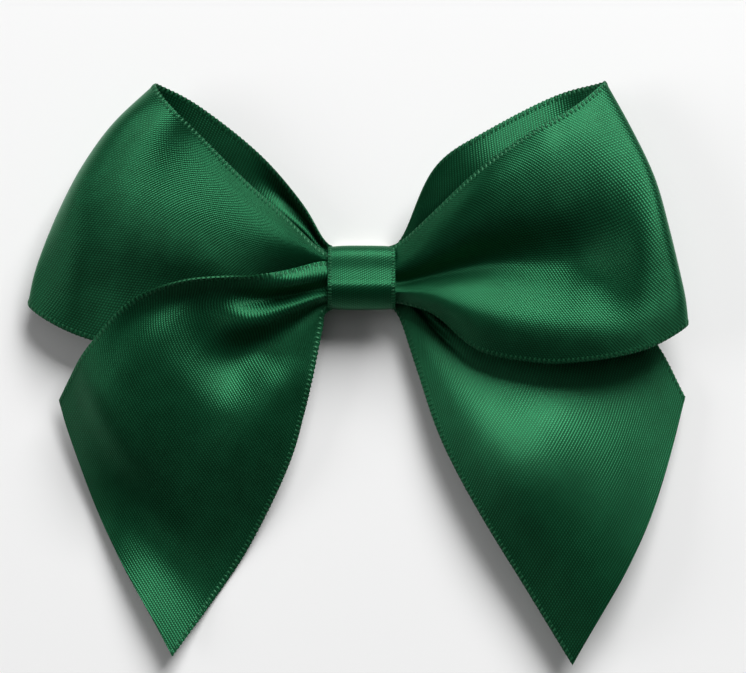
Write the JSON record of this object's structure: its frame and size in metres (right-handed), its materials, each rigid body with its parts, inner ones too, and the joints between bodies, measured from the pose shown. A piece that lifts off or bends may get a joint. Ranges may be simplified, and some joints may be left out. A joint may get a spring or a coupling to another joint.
{
  "type": "pre-made gift bow",
  "caption": "Satin ribbon gift bow with two loops and two slant-cut tails, a narrow centre band and a peel-off adhesive pad behind the knot",
  "frame": {"origin": "on the face that the bow lies on, at the middle of the release liner, straight behind the knot", "axes": "+X to the right of someone who faces the bow, +Y up the bow towards the tops of the loops, +Z out of its front"},
  "size_m": [0.0989, 0.0875, 0.014],
  "materials": {
    "satin_ribbon": "double-faced polyester satin, woven selvedges",
    "band_ribbon": "narrow double-faced polyester satin",
    "thread": "twisted polyester sewing thread",
    "hot_melt": "set hot-melt glue, cloudy",
    "foam_pad": "closed-cell polyethylene foam with adhesive on both faces",
    "liner_paper": "silicone-coated release paper"
  },
  "bodies": {
    "knot": {"waist_front_pass": "satin_ribbon", "waist_middle_pass": "satin_ribbon", "waist_back_pass": "satin_ribbon", "binding_thread": "thread", "centre_band": "band_ribbon", "glue_bead": "hot_melt", "adhesive_pad": "foam_pad"},
    "left_loop": {"left_loop": "satin_ribbon"},
    "left_tail": {"left_tail": "satin_ribbon"},
    "right_tail": {"right_tail": "satin_ribbon"},
    "right_loop": {"right_loop": "satin_ribbon"},
    "release_liner": {"release_liner": "liner_paper"}
  },
  "joints": [
    {"name": "left_loop_lift", "type": "hinge", "parent": "knot", "child": "left_loop", "pos_m": [-0.0054, 0, 0.0084], "axis": [0, 1, 0], "range_deg": [0, 25]},
    {"name": "left_tail_lift", "type": "hinge", "parent": "left_loop", "child": "left_tail", "pos_m": [-0.0054, 0, 0.0084], "axis": [0, 1, 0], "range_deg": [0, 35]},
    {"name": "right_tail_lift", "type": "hinge", "parent": "knot", "child": "right_tail", "pos_m": [0.0054, 0, 0.0084], "axis": [0, -1, 0], "range_deg": [0, 20]},
    {"name": "right_loop_lift", "type": "hinge", "parent": "right_tail", "child": "right_loop", "pos_m": [0.0054, 0, 0.0084], "axis": [0, -1, 0], "range_deg": [0, 25]},
    {"name": "liner_peel", "type": "slide", "parent": "knot", "child": "release_liner", "axis": [0, 0, -1], "range_m": [0, 0.03]}
  ]
}
